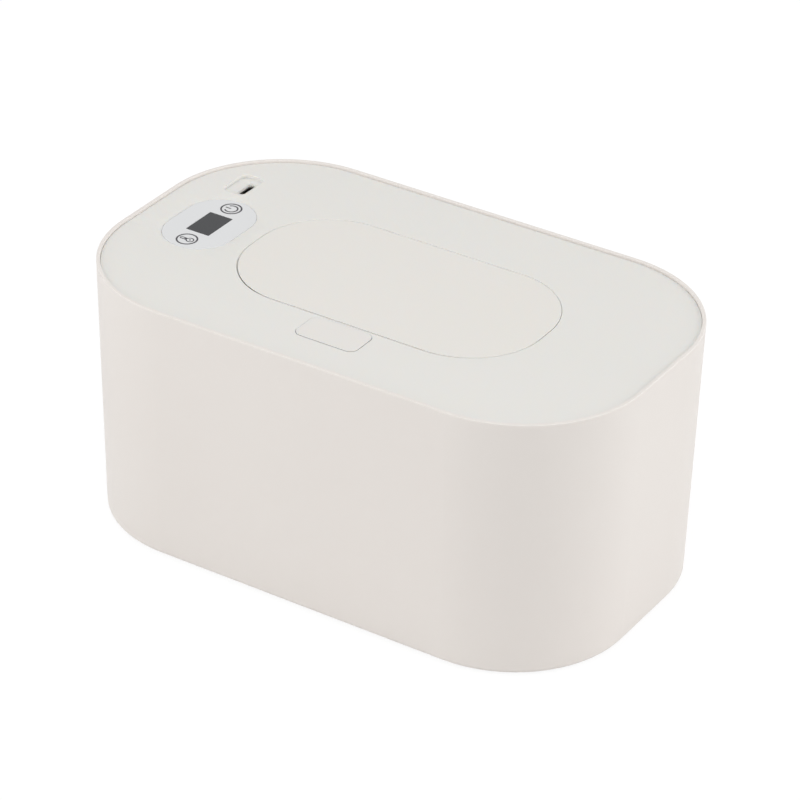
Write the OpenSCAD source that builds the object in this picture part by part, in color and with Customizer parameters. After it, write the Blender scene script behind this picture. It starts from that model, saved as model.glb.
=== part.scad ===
// Baby wipe warmer: a tub with a drop-in heated cover, a flush spring flap and a push-button latch.
// X runs along the tub, the button is at the front (-Y), Z is up, and Z = 0 is the table under the feet.

/* [Tub] */
// Length of the tub over its rim
body_l = 210; // [205:1:230]
// Width of the tub over its rim
body_w = 125.5; // [123:0.5:140]
// Height of the tub shell without its feet
body_h = 99.2; // [85:0.1:140]
// Corner radius of the rim in plan
corner_r = 46.7; // [44:0.1:50]
// How far each side leans in from the rim to the base
draft_in = 2; // [1:0.1:4]
// Radius of the edge round the base
base_round = 2; // [1:0.1:3]
// Thickness of the tub wall under the ledge
wall_t = 2.4; // [2:0.1:3]
// Thickness of the tub floor
floor_t = 2.4; // [2:0.1:3.5]
// Width of the rim that shows round the cover
rim_w = 1.35; // [1.1:0.05:1.8]
// Width of the ledge that carries the cover
ledge_w = 1.25; // [1:0.05:1.4]
// Height of the feet under the shell
foot_h = 0.8; // [0.5:0.1:2]
// Distance of each foot from the corner's centre, in X and in Y
foot_step = 17; // [14:0.5:20]
// Radius of a foot
foot_r = 6; // [4:0.5:8]

/* [Cover] */
// How far the cover lies below the rim
cover_drop = 0.9; // [0.3:0.1:1.5]
// Thickness of the cover plate and of the flap plate
cover_t = 2.2; // [2:0.1:2.5]
// Gap between the cover and the rim
cover_gap = 0.3; // [0.2:0.05:0.4]
// Height inside the cover, from under its plate to the base plate
cavity_h = 12; // [12:0.1:14]
// Thickness of the base plate that closes the cover from below
base_t = 1.8; // [1.5:0.1:2.5]
// Thickness of the skirt and of the walls inside the cover
skirt_t = 1.8; // [1.5:0.1:2.2]
// Distance from each end of the flap to the dispensing opening under it
open_end = 16.35; // [12:0.05:24]
// Distance from the flap's front and back to the dispensing opening under it
open_side = 11.35; // [10:0.05:16]
// Straight stretch in the middle of each end of the dispensing opening
open_flat = 2; // [0.5:0.5:6]

/* [Flap] */
// Distance from each end of the flap to the end of the tub
flap_end = 46.65; // [46:0.05:52]
// Distance from the flap's front and back to the sides of the tub
flap_side = 31.4; // [30.5:0.1:33]
// Straight stretch in the middle of each end of the flap
flap_flat = 7.1; // [4:0.1:12]
// Seam round the flap
flap_gap = 0.45; // [0.4:0.05:0.5]
// How far the hinge pin lies behind the flap's back edge
hinge_back = 6.2; // [6:0.1:6.6]
// How far the hinge pin lies below the top of the flap
hinge_down = 4.8; // [4.7:0.1:5]
// Diameter of the hinge pin
pin_d = 2; // [1.6:0.1:2.2]
// Distance of each hinge arm from the middle
arm_x = 22; // [19:0.5:24]

/* [Button] */
// Length of the release button
button_l = 24; // [22:0.5:28]
// Depth of the release button from front to back
button_w = 13.4; // [12:0.1:14]
// Corner radius of the release button
button_r = 3; // [2:0.1:4]
// How far the release button lies below the cover
button_drop = 0.3; // [0:0.05:0.5]
// Bridge of cover between the flap's seam and the button's seam
bridge_w = 1; // [0.8:0.1:2]
// Travel of the release button
button_travel = 1.8; // [1.5:0.1:2]

/* [Control panel] */
// Distance of the panel's centre from the end of the tub
panel_in = 26.15; // [24:0.05:27]
// Length of the oval panel, front to back
panel_l = 38.6; // [36:0.1:42]
// Width of the oval panel
panel_w = 26.4; // [23:0.1:28]
// Length of the display window, front to back
window_l = 15; // [12:0.1:17]
// Width of the display window
window_w = 9.7; // [7:0.1:12]
// Distance of each touch key from the display's centre
key_y = 13.55; // [12.8:0.05:14.5]

/* [Power inlet] */
// Length of the plug recess, front to back
port_l = 14.6; // [13:0.1:16]
// Width of the plug recess
port_w = 9.4; // [8:0.1:11]
// Depth of the plug recess
port_deep = 1.5; // [1.2:0.1:2.5]
// Distance of the plug recess's centre from the end of the tub
port_in = 19.1; // [18.5:0.1:20.5]
// Distance of the plug recess's centre from the back of the tub
port_back = 31.35; // [29:0.05:33]

/* [Heater] */
// Distance from each end of the heating plate to the end of the tub
heater_end = 27; // [24:0.5:33]
// Distance from the heating plate's front and back to the sides of the tub
heater_side = 20.75; // [19:0.05:24]
// Corner radius of the heating plate
heater_r = 34; // [30:1:37]
// Thickness of the aluminium heating plate
plate_t = 1; // [0.8:0.1:2]
// Thickness of the heating film
film_t = 0.4; // [0.3:0.1:0.6]
// Thickness of the insulating foam
foam_t = 2; // [1.5:0.1:3]

/* [Hidden] */
$fn = 96;
// How far a form runs into the one that it is fused to, and how far a cut runs past a face
join = 0.3;
cut = 1;

// Heights
rim_z = foot_h + body_h;
top_z = rim_z - cover_drop;
ledge_z = top_z - cover_t;
base_z = ledge_z - cavity_h;
under_z = base_z - base_t;
film_z = under_z - foam_t;
plate_z = film_z - film_t;
heater_z = plate_z - plate_t;

// Centres of the plan's corner arcs, which the tub and the cover share
corner_x = body_l / 2 - corner_r;
corner_y = body_w / 2 - corner_r;
base_r = corner_r - draft_in;
rim_round = 0.25;
cover_round = 0.15;
edge_round = 0.2;

// Feet, each in a shallow recess of the shell
foot_in = 0.8;
foot_clear = 0.1;
foot_bevel = 0.4;
foot_places = [for (sx = [-1, 1], sy = [-1, 1]) [sx * (corner_x + foot_step), sy * (corner_y + foot_step)]];

// Radii of the cover's parts about those centres
ledge_r = corner_r - rim_w - ledge_w;
cover_r = corner_r - rim_w - cover_gap;
skirt_clear = 1.1;
skirt_r = ledge_r - skirt_clear;
skirt_in_r = skirt_r - skirt_t;
lip_clear = 0.3;
lip_h = 2.6;
lip_t = 1.4;
seal_h = 2;
seal_bead = 1;
seal_bead_in = 0.5;
seal_clear = 0.1;

// Flap and the well that it closes
flap_l = body_l - 2 * flap_end;
flap_w = body_w - 2 * flap_side;
flap_r = (flap_w - flap_flat) / 2;
flap_x = flap_l / 2 - flap_r;
flap_y = flap_w / 2 - flap_r;
flap_land = 0.2;
flap_bevel = cover_t - flap_land;
well_r = flap_r + flap_gap - flap_bevel;
well_t = 1.6;
flap_skirt_in = 1;
flap_skirt_r = flap_r - flap_bevel - flap_skirt_in;
flap_skirt_t = 1.4;
flap_skirt_h = 2.4;
inner_t = 1.6;
inner_z = ledge_z - flap_skirt_h;
panel_z = inner_z - inner_t;
stake_r = 1.2;
stake_clear = 0.05;
stake_in = 2.6;
stake_angle = 35;

// Dispensing opening, its collar and the gasket that closes on it
open_r = (flap_w - 2 * open_side - open_flat) / 2;
open_x = flap_l / 2 - open_end - open_r;
open_y = open_flat / 2;
collar_t = 1.6;
gasket_h = 1.5;
gasket_w = 3.2;
gasket_clear = 0.3;
collar_z = panel_z - gasket_h - gasket_clear;

// Hinge: the arms run under the cover's edge through notches in the wall of the well
pin_r = pin_d / 2;
pin_clear = 0.05;
hinge_y = flap_w / 2 + hinge_back;
hinge_z = top_z - hinge_down;
eye_r = 2.2;
arm_w = 5;
arm_t = 2.4;
arm_clear = 0.4;
arm_lift = 0.5;
arm_low = hinge_z - base_z - arm_lift - arm_t / 2;
arm_reach = hinge_y - flap_y - flap_skirt_r + arm_clear + arm_t / 2;
arm_lean = 1.4;
notch_in = 2;
lug_t = 3;
lug_gap = 0.3;
lug_r = 2.3;
pin_over = 0.6;

// Hinge spring, in the room between the inner lug and the arm; its moving leg lies behind the arm
spring_wire = 0.4;
spring_turns = 4;
spring_room = 5.6;
spring_gap = 0.3;
spring_coil_r = arm_t / 2 + spring_gap + spring_wire;
spring_inner = arm_x - arm_w / 2 - spring_room;
leg_down = 6;
leg_out = 2.6;
stop_w = 2.4;
stop_t = 1.5;
stop_down = 3;

// Button, in a guide under the cover plate
button_gap = 0.3;
button_y = -(flap_w / 2 + flap_gap + bridge_w + button_gap + button_w / 2);
button_skirt_in = 0.2;
button_skirt_t = 1.2;
button_skirt_h = 3.6;
guide_t = 1.4;
guide_out = button_gap + guide_t;
guide_h = 4.4;

// Latch, a slider that the slanted slots in the button's two legs pull forward
latch_down = 9.8;
latch_z = top_z - latch_down;
latch_t = 1.6;
leg_side = 3.4;
leg_t = 1.8;
leg_w = 8;
leg_under = 2.2;
leg_x = button_l / 2 - leg_side;
leg_gap = 0.6;
latch_half = leg_x - leg_gap;
latch_front = 7.6;
latch_rear_gap = 0.8;
cam_pin_r = 1;
cam_clear = 0.06;
cam_over = 0.15;
cam_z = latch_z + latch_t / 2;
tongue_l = 5;
tongue_half = 3;
fork_t = 1.6;
fork_wall = 1.3;
fork_clear = 0.2;
fork_front = 3;
fork_over = 0.8;
nose_half = 5;
nose_clear = 0.1;
nose_bevel = 0.8;
hook_gap = 0.45;
hook_half = 4;
hook_t = 1.8;
hook_foot = 1.1;
hook_slant = 0.7;
hook_under = 0.3;
hook_y = -(flap_y + flap_skirt_r);

// Button's spring, round two short posts
coil_r = 2.6;
coil_wire = 0.3;
coil_turns = 6;
coil_post = 2;
coil_clear = 0.3;
coil_slack = 0.05;
coil_seat = 1.4;
coil_wall = 0.7;
closed_pitch = 1.1;
window_wall = 0.7;
window_side = 1;

// Control panel
panel_x = -(body_l / 2 - panel_in);
lens_t = 1;
lens_proud = 0.1;
lens_gap = 0.12;
lens_z = top_z + lens_proud - lens_t;
window_gap = 0.05;
window_step = 0.6;
window_edge = 0.7;
window_shoulder = 1;
display_l = 19;
display_w = 13;
display_gap = 0.3;
display_air = 0.2;
digit_y = 3.2;
digit_step = 2.4;
digit_bar = 0.5;
digit_l = 3;
digit_deep = 0.3;
key_hole_r = 3.2;
key_coil_r = 2.4;
key_wire = 0.25;
key_turns = 6;

// Power inlet: a USB-C socket standing on the board
port_x = -(body_l / 2 - port_in);
port_y = body_w / 2 - port_back;
port_r = 2.8;
port_floor_t = 1.2;
port_shoulder = 1.6;
usb_l = 8.94;
usb_w = 3.16;
usb_wall = 0.3;
usb_right = 1.35;
usb_x = port_x + usb_right;
usb_under = 0.1;
usb_over = 0.15;
usb_floor_t = 1.2;
tongue_w = 6.7;
tongue_t = 0.7;
tongue_down = 0.8;
tongue_fit = 0.02;

// Control board and what stands on it
board_t = 1.6;
board_up = 3.1;
board_z = base_z + board_up;
usb_h = top_z - port_deep - port_floor_t - usb_under - board_z;
board_left = 18.5;
board_right = 15.5;
board_front = 24.5;
board_edge = 2.8;
board_back = port_y + usb_l / 2 + board_edge;
board_inset = 2.4;
board_boss_r = 2.4;
board_hole_r = 1.3;
chip_x = 10.6;
chip_y = -4;
chip_w = 6;
chip_l = 7;
chip_h = 1.4;
choke_x = -12;
choke_y = 8;
choke_w = 5;
choke_h = 2.6;
choke_core_r = 2;
choke_deep = 0.5;
capacitor_x = -11.5;
capacitor_y = -4;
capacitor_r = 3;
capacitor_h = 6;
plug_x = 11.6;
plug_w = 5;
plug_l = 6;
plug_h = 4.4;

// Leads, from the plugs over the board's edge and down through the base to the film
lead_r = 0.55;
lead_y = 11;
lead_step = 1.8;
lead_up = 2.6;
lead_bend = 2;
lead_seat = 0.02;
lead_wall_gap = 3;
lead_x = -(flap_x + well_r + well_t + lead_wall_gap);
lead_hole_r = 2.2;
pocket_l = 9;
pocket_w = 6;

// Thermistor and thermal cut-off, in the foam's pockets beside the leads
bead_air = 0.4;
bead_r = (foam_t - bead_air) / 2;
bead_l = 3;
bead_in = 1;
cutoff_in = 0.6;
cutoff_w = 3.2;
cutoff_l = 4.6;
cutoff_air = 0.3;
cutoff_h = foam_t - cutoff_air;

// Screws
screw_pilot_r = 1.1;
screw_clear_r = 1.7;
screw_head_r = 2.8;
screw_head_h = 1.5;
screw_l = 8;
pilot_end = 1;
thread_clear = 0.03;
head_taper = 0.6;
cross_arm = 1.5;
cross_t = 0.6;
boss_r = 3;
boss_inset = 5.2;
web_t = 1.2;
web_gap = 0.5;
small_pilot_r = 0.85;
small_head_r = 2;
small_head_h = 1.1;
small_cross_arm = 1.1;
board_screw_l = 6;
heater_screw_l = 4;
heater_screw_end = 14;
heater_screw_side = 18.2;
heater_hole_r = 1.2;

// Heater, in a frame under the base
heater_l = body_l - 2 * heater_end;
heater_w = body_w - 2 * heater_side;
heater_x = heater_l / 2 - heater_r;
heater_y = heater_w / 2 - heater_r;
heater_frame_t = 1.5;
heater_frame_gap = 0.4;
film_in = 1.5;
foam_in = 0.6;
plate_collar_gap = 0.6;
foam_collar_gap = 0.4;
boss_gap = 0.3;

// Places of the cover screws: X, Y and the direction in which a web ties the boss to the skirt
screw_ring = skirt_in_r - boss_inset;
screw_angle = 60;
screw_front_x = 28;
screw_places = concat(
    [for (sx = [-1, 1], sy = [-1, 1])
        let (a = sx > 0 ? screw_angle : 180 - screw_angle)
        [sx * corner_x + screw_ring * cos(a), sy * (corner_y + screw_ring * sin(a)), sy * a]],
    [[0, corner_y + screw_ring, 90], [corner_x + screw_ring, 0, 0]],
    [for (s = [-1, 1]) [s * screw_front_x, -corner_y - screw_ring, -90]]
);

// Places of the board screws and of the heater screws
board_screw_in = 3;
board_screw_left = 12;
board_screw_key = 4.3;
board_screw_places = [
    [panel_x + board_right - board_screw_in, -board_front + board_screw_in],
    [panel_x - board_screw_left, -board_front + board_screw_in],
    [panel_x + board_right - board_screw_in, board_back - board_screw_in],
    [panel_x - board_screw_left, key_y + board_screw_key]
];
heater_screw_places = [for (sx = [-1, 1], sy = [-1, 1])
    [sx * (heater_l / 2 - heater_screw_end), sy * (heater_w / 2 - heater_screw_side)]];
stake_ring = flap_skirt_r - flap_skirt_t - stake_in;
stake_places = [for (sx = [-1, 1], sy = [-1, 1])
    [sx * (flap_x + stake_ring * cos(stake_angle)), sy * (flap_y + stake_ring * sin(stake_angle))]];

// Plain helpers

// A section drawn in (r, z), with r measured from the corner centres, carried round a rounded rectangle
module carried_round(hx, hy) {
    for (q = [0:3])
        translate([(q == 0 || q == 3 ? 1 : -1) * hx, (q < 2 ? 1 : -1) * hy, 0])
            rotate([0, 0, 90 * q])
                rotate_extrude(angle = 90)
                    children();
    for (m = [0, 1]) {
        mirror([0, m, 0])
            translate([-hx, hy, 0])
                rotate([90, 0, 90])
                    linear_extrude(2 * hx)
                        children();
        mirror([m, 0, 0])
            translate([hx, hy, 0])
                rotate([90, 0, 0])
                    linear_extrude(2 * hy)
                        children();
    }
}

// The middle of a rounded plate, inside its corner centres
module plate_middle(hx, hy, z0, z1) {
    translate([-hx, -hy, z0])
        cube([2 * hx, 2 * hy, z1 - z0]);
}

// A solid rounded plate of radius r about the corner centres
module round_plate(hx, hy, r, z0, z1) {
    carried_round(hx, hy)
        translate([0, z0])
            square([r, z1 - z0]);
    plate_middle(hx, hy, z0, z1);
}

// A flat rounded ring
module round_ring(hx, hy, r_in, r_out, z0, z1) {
    carried_round(hx, hy)
        translate([r_in, z0])
            square([r_out - r_in, z1 - z0]);
}

// A block with round corners, centred at x and y
module rounded_block(x, y, lx, ly, r, z0, z1) {
    translate([x, y, 0])
        round_plate(lx / 2 - r, ly / 2 - r, r, z0, z1);
}

// The same with its upper edge rounded
module soft_block(x, y, lx, ly, r, z0, z1) {
    translate([x, y, 0]) {
        carried_round(lx / 2 - r, ly / 2 - r) {
            polygon([[0, z0], [r, z0], [r, z1 - edge_round], [r - edge_round, z1], [0, z1]]);
            translate([r - edge_round, z1 - edge_round])
                circle(r = edge_round);
        }
        plate_middle(lx / 2 - r, ly / 2 - r, z0, z1);
    }
}

// A block centred in X and Y, from z0 to z1
module block(x, y, lx, ly, z0, z1) {
    translate([x - lx / 2, y - ly / 2, z0])
        cube([lx, ly, z1 - z0]);
}

module post(x, y, r, z0, z1) {
    translate([x, y, z0])
        cylinder(r = r, h = z1 - z0);
}

// A round-ended slot along Y
module pill(x, y, l, w, z0, z1) {
    block(x, y, w, l - w, z0, z1);
    for (s = [-1, 1])
        post(x, y + s * (l - w) / 2, w / 2, z0, z1);
}

// A rod or a bore along X, from x0 to x1
module rod(x0, x1, y, z, r) {
    translate([x0, y, z])
        rotate([0, 90, 0])
            cylinder(r = r, h = x1 - x0);
}

// A section drawn in (y, z), extruded along X from -half to half
module across(half) {
    translate([-half, 0, 0])
        rotate([90, 0, 90])
            linear_extrude(2 * half)
                children();
}

// A bar with round ends in a plane, from p to q
module bar(p, q, w) {
    d = q - p;
    translate(p)
        rotate(atan2(d[1], d[0]))
            translate([0, -w / 2])
                square([norm(d), w]);
    for (c = [p, q])
        translate(c)
            circle(d = w);
}

// Points of a coil about +Z, whose first and last turns lie closed
function coil(r, wire, turns, length, steps) =
    let (closed = 2 * wire * closed_pitch, open = (length - 2 * wire - 2 * closed) / (turns - 2))
    [for (i = [0:turns * steps])
        let (t = i / steps)
        [r * cos(360 * t), r * sin(360 * t),
            wire + closed * (min(t, 1) + max(0, t - turns + 1)) + open * min(max(0, t - 1), turns - 2)]];

function unit(v) = v / norm(v);
function along(p, i) = unit(p[min(i + 1, len(p) - 1)] - p[max(i - 1, 0)]);
function ring_at(p, i, r, sides, up) =
    let (t = along(p, i), a = unit(cross(up, t)), b = cross(t, a))
    [for (k = [0:sides - 1]) p[i] + r * (cos(360 * k / sides) * a + sin(360 * k / sides) * b)];

// A round wire along the points p; up is a direction that the wire never runs in
module wire(p, r, sides, up) {
    n = len(p);
    polyhedron(
        points = [for (i = [0:n - 1]) each ring_at(p, i, r, sides, up)],
        faces = concat(
            [[for (k = [0:sides - 1]) k], [for (k = [sides - 1:-1:0]) (n - 1) * sides + k]],
            [for (i = [0:n - 2], k = [0:sides - 1])
                [i * sides + k, (i + 1) * sides + k, i * sides + (k + 1) % sides]],
            [for (i = [0:n - 2], k = [0:sides - 1])
                [i * sides + (k + 1) % sides, (i + 1) * sides + k, (i + 1) * sides + (k + 1) % sides]]
        )
    );
}

// A screw whose head is below: its shank rises from z
module screw(p, z, r, length, head_r, head_h, arm) {
    translate([p[0], p[1], z]) {
        cylinder(r = r, h = length);
        difference() {
            translate([0, 0, -head_h])
                cylinder(r1 = head_r - head_taper, r2 = head_r, h = head_h);
            for (a = [0, 90])
                rotate([0, 0, a])
                    block(0, 0, 2 * arm, cross_t, -head_h - cut, -head_h + cross_t);
        }
    }
}

// Tub

// Floor, leaning wall, ledge for the cover and rim, drawn from the corner's centre outwards
module tub_section() {
    polygon([
        [0, foot_h], [base_r - base_round, foot_h], [base_r, foot_h + base_round],
        [corner_r, rim_z - rim_round], [corner_r - rim_round, rim_z],
        [corner_r - rim_w + rim_round, rim_z], [corner_r - rim_w, rim_z - rim_round],
        [corner_r - rim_w, ledge_z], [ledge_r, ledge_z],
        [base_r - wall_t, foot_h + floor_t + base_round],
        [base_r - wall_t - base_round, foot_h + floor_t], [0, foot_h + floor_t]
    ]);
    translate([base_r - base_round, foot_h + base_round])
        circle(r = base_round);
    for (r = [corner_r - rim_round, corner_r - rim_w + rim_round])
        translate([r, rim_z - rim_round])
            circle(r = rim_round);
}

module tub() {
    color("seashell")
        difference() {
            union() {
                carried_round(corner_x, corner_y)
                    tub_section();
                plate_middle(corner_x, corner_y, foot_h, foot_h + floor_t);
            }
            for (p = foot_places)
                post(p[0], p[1], foot_r + foot_clear, foot_h - cut, foot_h + foot_in);
        }
}

module feet() {
    color("gainsboro")
        for (p = foot_places)
            translate([p[0], p[1], 0])
                rotate_extrude()
                    polygon([
                        [0, 0], [foot_r - foot_bevel, 0], [foot_r, foot_bevel],
                        [foot_r, foot_h + foot_in], [0, foot_h + foot_in]
                    ]);
}

// Cover

// Plate with a rounded edge, and the skirt under it
module cover_edge_section() {
    polygon([
        [0, ledge_z], [cover_r, ledge_z], [cover_r, top_z - cover_round],
        [cover_r - cover_round, top_z], [0, top_z]
    ]);
    translate([cover_r - cover_round, top_z - cover_round])
        circle(r = cover_round);
    translate([skirt_in_r, base_z + seal_h])
        square([skirt_t, cavity_h - seal_h + join]);
}

// What a cut takes off the upper edge of an opening of radius r, so that the edge keeps a round
module open_edge(hx, hy, r) {
    carried_round(hx, hy)
        difference() {
            translate([r - join, top_z - edge_round])
                square([edge_round + join, edge_round + cut]);
            translate([r + edge_round, top_z - edge_round])
                circle(r = edge_round);
        }
}

// Cut for the flap: the well straight up, then bevelled out to its rounded edge
module flap_cut() {
    carried_round(flap_x, flap_y)
        polygon([
            [0, base_z - cut], [well_r, base_z - cut], [well_r, ledge_z],
            [flap_r + flap_gap, ledge_z + flap_bevel], [flap_r + flap_gap, top_z + cut], [0, top_z + cut]
        ]);
    open_edge(flap_x, flap_y, flap_r + flap_gap);
    plate_middle(flap_x, flap_y, base_z - cut, top_z + cut);
}

module cover_bosses() {
    for (p = screw_places) {
        post(p[0], p[1], boss_r, base_z, ledge_z + join);
        translate([p[0], p[1], 0])
            rotate([0, 0, p[2]])
                translate([0, -web_t / 2, base_z + lip_h + web_gap])
                    cube([boss_inset + join, web_t, cavity_h - lip_h - web_gap + join]);
    }
    for (p = board_screw_places)
        post(p[0], p[1], board_boss_r, board_z, ledge_z + join);
}

module cover_shell() {
    color("linen")
        difference() {
            union() {
                carried_round(corner_x, corner_y)
                    cover_edge_section();
                plate_middle(corner_x, corner_y, ledge_z, top_z);
                // Wall of the well under the flap, guide round the button and floor of the plug recess
                round_plate(flap_x, flap_y, well_r + well_t, base_z, ledge_z + join);
                rounded_block(0, button_y, button_l + 2 * guide_out, button_w + 2 * guide_out,
                    button_r + guide_out, ledge_z - guide_h, ledge_z + join);
                rounded_block(port_x, port_y, port_w + 2 * port_shoulder, port_l + 2 * port_shoulder,
                    port_r + port_shoulder, top_z - port_deep - port_floor_t, ledge_z + join);
                cover_bosses();
            }
            flap_cut();
            // Button's hole and the slot for the latch's nose
            rounded_block(0, button_y, button_l + 2 * button_gap, button_w + 2 * button_gap,
                button_r + button_gap, base_z, top_z + cut);
            translate([0, button_y, 0])
                open_edge(button_l / 2 - button_r, button_w / 2 - button_r, button_r + button_gap);
            block(0, -flap_y - well_r, 2 * (nose_half + nose_clear), 4 * well_t,
                latch_z - nose_clear, latch_z + latch_t + nose_clear);
            // Notches for the hinge arms, hidden under the flap's bevelled edge
            for (s = [-1, 1])
                translate([s * arm_x - arm_w / 2 - arm_clear, flap_y + well_r - notch_in, base_z - cut])
                    cube([arm_w + 2 * arm_clear, flap_r + flap_gap - well_r + notch_in, rim_z - base_z]);
            // Seat of the panel, its window and the touch springs' holes
            pill(panel_x, 0, panel_l + 2 * lens_gap, panel_w + 2 * lens_gap, lens_z, top_z + cut);
            block(panel_x, 0, window_w + 2 * window_shoulder, window_l + 2 * window_shoulder,
                ledge_z - cut, top_z);
            for (s = [-1, 1])
                post(panel_x, s * key_y, key_hole_r, ledge_z - cut, top_z);
            // Plug recess and the socket's slot
            rounded_block(port_x, port_y, port_w, port_l, port_r, top_z - port_deep, top_z + cut);
            translate([port_x, port_y, 0])
                open_edge(port_w / 2 - port_r, port_l / 2 - port_r, port_r);
            pill(usb_x, port_y, usb_l - 2 * usb_over, usb_w - 2 * usb_over, base_z, top_z);
            // Screws' pilot holes
            for (p = screw_places)
                post(p[0], p[1], screw_pilot_r, base_z - cut, ledge_z - pilot_end);
            for (p = board_screw_places)
                post(p[0], p[1], small_pilot_r, board_z - cut, ledge_z - pilot_end);
        }
}

// Four lugs that hold the hinge pin, one on each side of each arm
module hinge_lugs() {
    outer = arm_x + arm_w / 2 + lug_gap;
    for (s = [-1, 1], x = [outer, spring_inner - lug_t])
        difference() {
            translate([s > 0 ? 0 : -2 * x - lug_t, 0, 0]) {
                rod(x, x + lug_t, hinge_y, hinge_z, lug_r);
                translate([x, hinge_y - lug_r, base_z - join])
                    cube([lug_t, 2 * lug_r, hinge_z - base_z + join]);
            }
            rod(-outer - lug_t - cut, outer + lug_t + cut, hinge_y, hinge_z, pin_r + pin_clear);
        }
}

// Seat of the button's spring, and the fork that guides the latch's tongue
module button_seats() {
    fork_y = button_y - latch_front - fork_front;
    slot_half = tongue_half + fork_clear;
    post(0, button_y, coil_r + coil_wire + coil_wall, base_z - join, base_z + coil_seat);
    post(0, button_y, coil_r - coil_wire - coil_clear, base_z, base_z + coil_seat + coil_post);
    block(0, fork_y, 2 * (slot_half + fork_wall), fork_t, base_z - join, latch_z - nose_clear);
    for (s = [-1, 1])
        block(s * (slot_half + fork_wall / 2), fork_y, fork_wall, fork_t,
            base_z - join, latch_z + latch_t + fork_over);
}

module cover_base() {
    color("linen")
        difference() {
            union() {
                round_plate(corner_x, corner_y, skirt_r, under_z, base_z);
                // Lip that locates the skirt and backs the seal
                round_ring(corner_x, corner_y, skirt_in_r - lip_clear - lip_t, skirt_in_r - lip_clear,
                    base_z - join, base_z + lip_h);
                // Collar round the dispensing opening, frame round the heating plate and its screw posts
                round_plate(open_x, open_y, open_r + collar_t, plate_z, collar_z);
                round_ring(heater_x, heater_y, heater_r + heater_frame_gap,
                    heater_r + heater_frame_gap + heater_frame_t, heater_z, under_z + join);
                for (p = heater_screw_places)
                    post(p[0], p[1], boss_r, plate_z, under_z + join);
                hinge_lugs();
                // Stop behind the hinge spring's fixed leg
                translate([spring_inner + spring_gap, hinge_y - arm_t / 2, base_z - join])
                    cube([stop_w, stop_t, hinge_z - base_z - stop_down + join]);
                button_seats();
            }
            round_plate(open_x, open_y, open_r, heater_z - cut, collar_z + cut);
            for (p = screw_places)
                post(p[0], p[1], screw_clear_r, under_z - cut, base_z + cut);
            for (p = heater_screw_places)
                post(p[0], p[1], small_pilot_r, plate_z - cut, plate_z + heater_screw_l);
            for (s = [-1, 1])
                post(lead_x, s * lead_y, lead_hole_r, under_z - cut, base_z + cut);
        }
}

// Flat ring between the skirt and the base, with a round bead that touches the tub's wall
module cover_seal() {
    color("silver")
        carried_round(corner_x, corner_y) {
            translate([skirt_in_r - lip_clear + seal_clear, base_z])
                square([skirt_t + lip_clear - seal_clear, seal_h]);
            translate([skirt_r - seal_bead_in, base_z + seal_h / 2])
                circle(r = seal_bead);
        }
}

module cover_screws() {
    color("silver")
        for (p = screw_places)
            screw(p, under_z, screw_pilot_r - thread_clear, screw_l, screw_head_r, screw_head_h, cross_arm);
}

// Control panel

module touch_panel() {
    color("aliceblue")
        difference() {
            pill(panel_x, 0, panel_l, panel_w, lens_z, top_z + lens_proud);
            block(panel_x, 0, window_w, window_l, lens_z - cut, top_z + cut);
        }
}

// A plug that fills the panel's opening, with a flange behind it
module display_window() {
    color("dimgray") {
        block(panel_x, 0, window_w - 2 * window_gap, window_l - 2 * window_gap,
            lens_z - window_step, top_z + lens_proud);
        block(panel_x, 0, window_w + 2 * window_edge, window_l + 2 * window_edge,
            lens_z - window_step, lens_z);
    }
}

// Stepped body whose face holds the bars of two digits
module display_module() {
    face_z = lens_z - window_step - display_air;
    color("dimgray")
        difference() {
            union() {
                block(panel_x, 0, display_w, display_l, board_z, ledge_z - display_gap);
                block(panel_x, 0, window_w + 2 * window_edge, window_l + 2 * window_edge, board_z, face_z);
            }
            for (d = [-1, 1], b = [-1:1])
                block(panel_x + b * digit_step, d * digit_y, digit_bar, digit_l,
                    face_z - digit_deep, face_z + cut);
        }
}

module touch_springs() {
    color("silver")
        for (s = [-1, 1])
            translate([panel_x, s * key_y, board_z])
                wire(coil(key_coil_r, key_wire, key_turns, lens_z - board_z - coil_slack, 10),
                    key_wire, 6, [0, 0, 1]);
}

module control_board() {
    color("darkgreen")
        difference() {
            intersection() {
                translate([panel_x - board_left, -board_front, board_z - board_t])
                    cube([board_left + board_right, board_front + board_back, board_t]);
                round_plate(corner_x, corner_y, skirt_in_r - board_inset, base_z, ledge_z);
            }
            for (p = board_screw_places)
                post(p[0], p[1], board_hole_r, board_z - board_t - cut, board_z + cut);
        }
}

// Controller, choke and capacitor
module board_parts() {
    color("dimgray") {
        block(panel_x + chip_x, chip_y, chip_w, chip_l, board_z, board_z + chip_h);
        difference() {
            block(panel_x + choke_x, choke_y, choke_w, choke_w, board_z, board_z + choke_h);
            post(panel_x + choke_x, choke_y, choke_core_r,
                board_z + choke_h - choke_deep, board_z + choke_h + cut);
        }
        post(panel_x + capacitor_x, capacitor_y, capacitor_r, board_z, board_z + capacitor_h);
    }
}

module board_screws() {
    color("silver")
        for (p = board_screw_places)
            screw(p, board_z - board_t, small_pilot_r - thread_clear, board_screw_l,
                small_head_r, small_head_h, small_cross_arm);
}

module usb_shell() {
    color("silver")
        difference() {
            pill(usb_x, port_y, usb_l, usb_w, board_z, board_z + usb_h);
            pill(usb_x, port_y, usb_l - 2 * usb_wall, usb_w - 2 * usb_wall,
                board_z + usb_floor_t, board_z + usb_h + cut);
        }
}

module usb_tongue() {
    inset = 2 * (usb_wall + tongue_fit);
    z = board_z + usb_floor_t;
    color("black") {
        block(usb_x, port_y, tongue_t, tongue_w, z, board_z + usb_h - tongue_down);
        pill(usb_x, port_y, usb_l - inset, usb_w - inset, z, z + usb_floor_t);
    }
}

// Heater

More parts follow.
